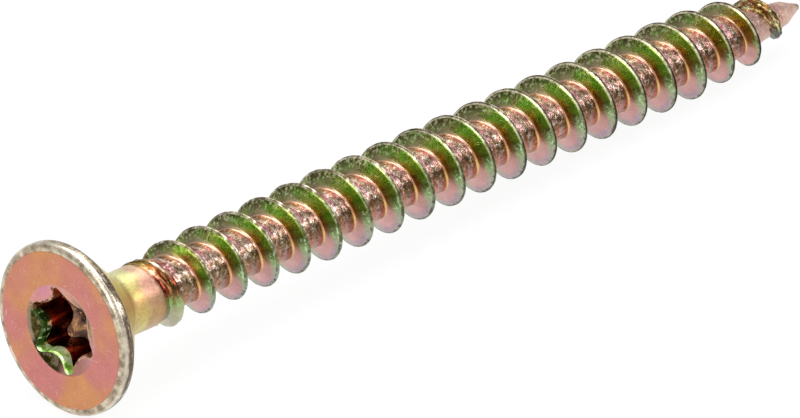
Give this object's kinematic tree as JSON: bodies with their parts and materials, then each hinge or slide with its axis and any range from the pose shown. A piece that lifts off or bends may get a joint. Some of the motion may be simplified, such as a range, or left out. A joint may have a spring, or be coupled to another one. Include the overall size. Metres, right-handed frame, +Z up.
{
  "type": "multi-purpose screw",
  "caption": "Countersunk multi-purpose screw with a six-lobe drive, a short plain neck and a coarse full-length right-hand thread, in yellow-passivated zinc-plated steel.",
  "frame": {"origin": "middle of the lying screw's outline, on the table that it lies on", "axes": "+Z up; +X along the screw towards the point, which lies lower than the head; the screw's own axis lies in the plane Y = 0 and dips 3.01 degrees from +X"},
  "size_m": [0.0484, 0.0082, 0.0083],
  "materials": {
    "plated_steel": "zinc-plated and yellow-passivated, with pink and green interference colours"
  },
  "bodies": {
    "root": {"screw": "plated_steel"}
  },
  "joints": []
}
